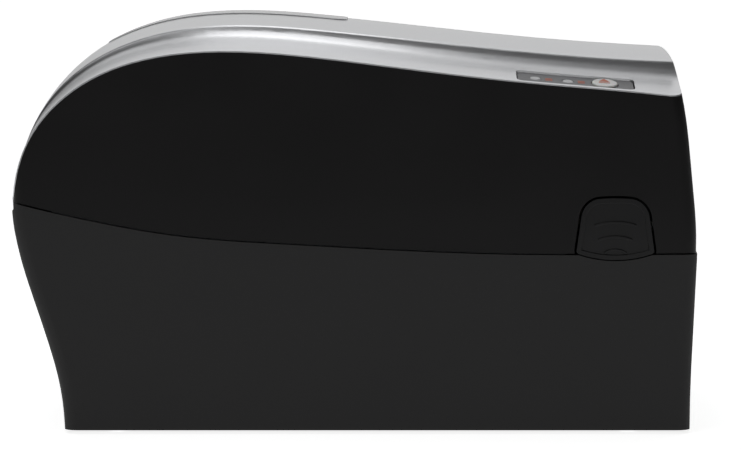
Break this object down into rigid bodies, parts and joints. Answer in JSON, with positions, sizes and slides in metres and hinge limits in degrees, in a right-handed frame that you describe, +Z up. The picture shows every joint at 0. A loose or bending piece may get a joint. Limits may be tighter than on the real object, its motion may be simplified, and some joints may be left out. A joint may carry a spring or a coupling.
{
  "type": "receipt printer",
  "caption": "Desktop clamshell thermal receipt and label printer: dark case, silver coved lid, paper roll bay with centring guides, geared platen and print head.",
  "frame": {"origin": "middle of the footprint, on the surface that the feet stand on", "axes": "+X towards the paper exit, +Y towards the left side of a person inside looking out, +Z up"},
  "size_m": [0.2846, 0.226, 0.1711],
  "materials": {
    "case_charcoal": "fine matte moulded grain",
    "lid_black": "satin black with a fine grain",
    "cover_silver": "fine metallic silver lacquer over a moulding, smooth satin",
    "window_smoke": "smooth translucent grey",
    "inner_black": "plain moulded",
    "inner_grey": "plain moulded",
    "panel_grey": "satin",
    "lens_white": "translucent white",
    "key_white": "smooth",
    "button_black": "satin black",
    "rubber_black": "soft, matte",
    "platen_rubber": "ground smooth",
    "steel": "brushed",
    "zinc_plate": "zinc plated",
    "gear_white": "moulded acetal",
    "brass": "machined",
    "aluminium": "extruded",
    "board_green": "lacquered fibreglass",
    "chip_black": "moulded",
    "ceramic": "glazed ceramic",
    "guide_blue": "moulded"
  },
  "bodies": {
    "case": {"base_shell": "case_charcoal", "base_plate": "inner_black", "feet": "rubber_black", "base_screws": "steel", "chassis_tray": "inner_grey", "front_bezel": "case_charcoal", "tear_bar": "steel", "guide_rail": "inner_black", "sensor_rail": "steel", "latch_catches": "gear_white", "hinge_pins": "steel", "platen_bushes": "brass", "idler_stud": "steel", "drive_motor": "chip_black", "gear_plate": "zinc_plate", "motor_screws": "steel", "main_board": "board_green", "board_chips": "chip_black", "board_capacitors": "aluminium", "rear_io_plate": "inner_black", "usb_socket": "steel", "serial_socket": "steel", "power_inlet": "chip_black", "switch_housing": "chip_black"},
    "lid": {"lid_shell": "lid_black", "top_cover": "cover_silver", "viewing_window": "window_smoke", "lid_liner": "inner_black", "control_panel": "panel_grey", "indicator_lenses": "lens_white", "panel_board": "board_green", "head_carrier": "inner_black", "print_head": "ceramic", "head_heat_sink": "aluminium", "head_bracket": "zinc_plate", "head_springs": "steel", "latch_arm_left": "gear_white", "latch_arm_right": "gear_white", "release_spring_left": "steel", "release_spring_right": "steel"},
    "feed_key": {"feed_button": "key_white"},
    "release_left": {"release_button_left": "button_black"},
    "release_right": {"release_button_right": "button_black"},
    "platen": {"platen_shaft": "steel", "platen_rubber": "platen_rubber", "platen_gear": "gear_white"},
    "idler": {"idler_gear": "gear_white"},
    "motor_rotor": {"motor_pinion": "brass"},
    "guide_left": {"roll_guide_left": "guide_blue"},
    "guide_right": {"roll_guide_right": "guide_blue"},
    "hub_left": {"roll_hub_left": "inner_black"},
    "hub_right": {"roll_hub_right": "inner_black"},
    "guide_gear": {"guide_pinion": "gear_white"},
    "sensor": {"media_sensor": "inner_black"},
    "power_switch": {"power_rocker": "chip_black"}
  },
  "joints": [
    {"name": "lid_hinge", "type": "hinge", "parent": "case", "child": "lid", "pos_m": [-0.1383, 0, 0.0954], "axis": [0, -1, 0], "range_deg": [0, 80]},
    {"name": "feed_key_press", "type": "slide", "parent": "lid", "child": "feed_key", "axis": [-0.0643, 0.2823, -0.9572], "range_m": [0, 0.0012], "stiffness_N_per_m": 250},
    {"name": "release_left_press", "type": "slide", "parent": "lid", "child": "release_left", "axis": [0, -1, 0], "range_m": [0, 0.003], "stiffness_N_per_m": 600, "deforming": ["release_spring_left", "latch_arm_left"]},
    {"name": "release_right_press", "type": "slide", "parent": "lid", "child": "release_right", "axis": [0, 1, 0], "range_m": [0, 0.003], "stiffness_N_per_m": 600, "deforming": ["release_spring_right", "latch_arm_right"]},
    {"name": "platen_spin", "type": "hinge", "parent": "case", "child": "platen", "pos_m": [0.118, 0, 0.07], "axis": [0, 1, 0], "continuous": true},
    {"name": "idler_spin", "type": "hinge", "parent": "case", "child": "idler", "pos_m": [0.099, 0, 0.0582], "axis": [0, 1, 0], "continuous": true},
    {"name": "motor_spin", "type": "hinge", "parent": "case", "child": "motor_rotor", "pos_m": [0.09404, 0, 0.038], "axis": [0, 1, 0], "continuous": true},
    {"name": "guide_left_slide", "type": "slide", "parent": "case", "child": "guide_left", "axis": [0, 1, 0], "range_m": [-0.014, 0.0145]},
    {"name": "guide_right_slide", "type": "slide", "parent": "case", "child": "guide_right", "axis": [0, 1, 0], "range_m": [-0.0146, 0.0141]},
    {"name": "guide_gear_spin", "type": "hinge", "parent": "case", "child": "guide_gear", "pos_m": [-0.05, 0, 0.02], "axis": [0, 0, 1], "range_deg": [-135, 139]},
    {"name": "hub_left_spin", "type": "hinge", "parent": "guide_left", "child": "hub_left", "pos_m": [-0.05, 0.036, 0.092], "axis": [0, 1, 0], "continuous": true},
    {"name": "hub_right_spin", "type": "hinge", "parent": "guide_right", "child": "hub_right", "pos_m": [-0.05, -0.036, 0.092], "axis": [0, 1, 0], "continuous": true},
    {"name": "sensor_slide", "type": "slide", "parent": "case", "child": "sensor", "axis": [0, 1, 0], "range_m": [-0.048, 0.048]},
    {"name": "power_rock", "type": "hinge", "parent": "case", "child": "power_switch", "pos_m": [-0.113, 0.052, 0.027], "axis": [0, -1, 0], "range_deg": [0, 16]}
  ],
  "couplings": [
    {"joint": "idler_spin", "follows": "platen_spin", "ratio": -2.5},
    {"joint": "motor_spin", "follows": "platen_spin", "ratio": 5.625},
    {"joint": "guide_right_slide", "follows": "guide_left_slide", "ratio": -1},
    {"joint": "guide_gear_spin", "follows": "guide_left_slide", "rad_per_m": 166.67}
  ]
}
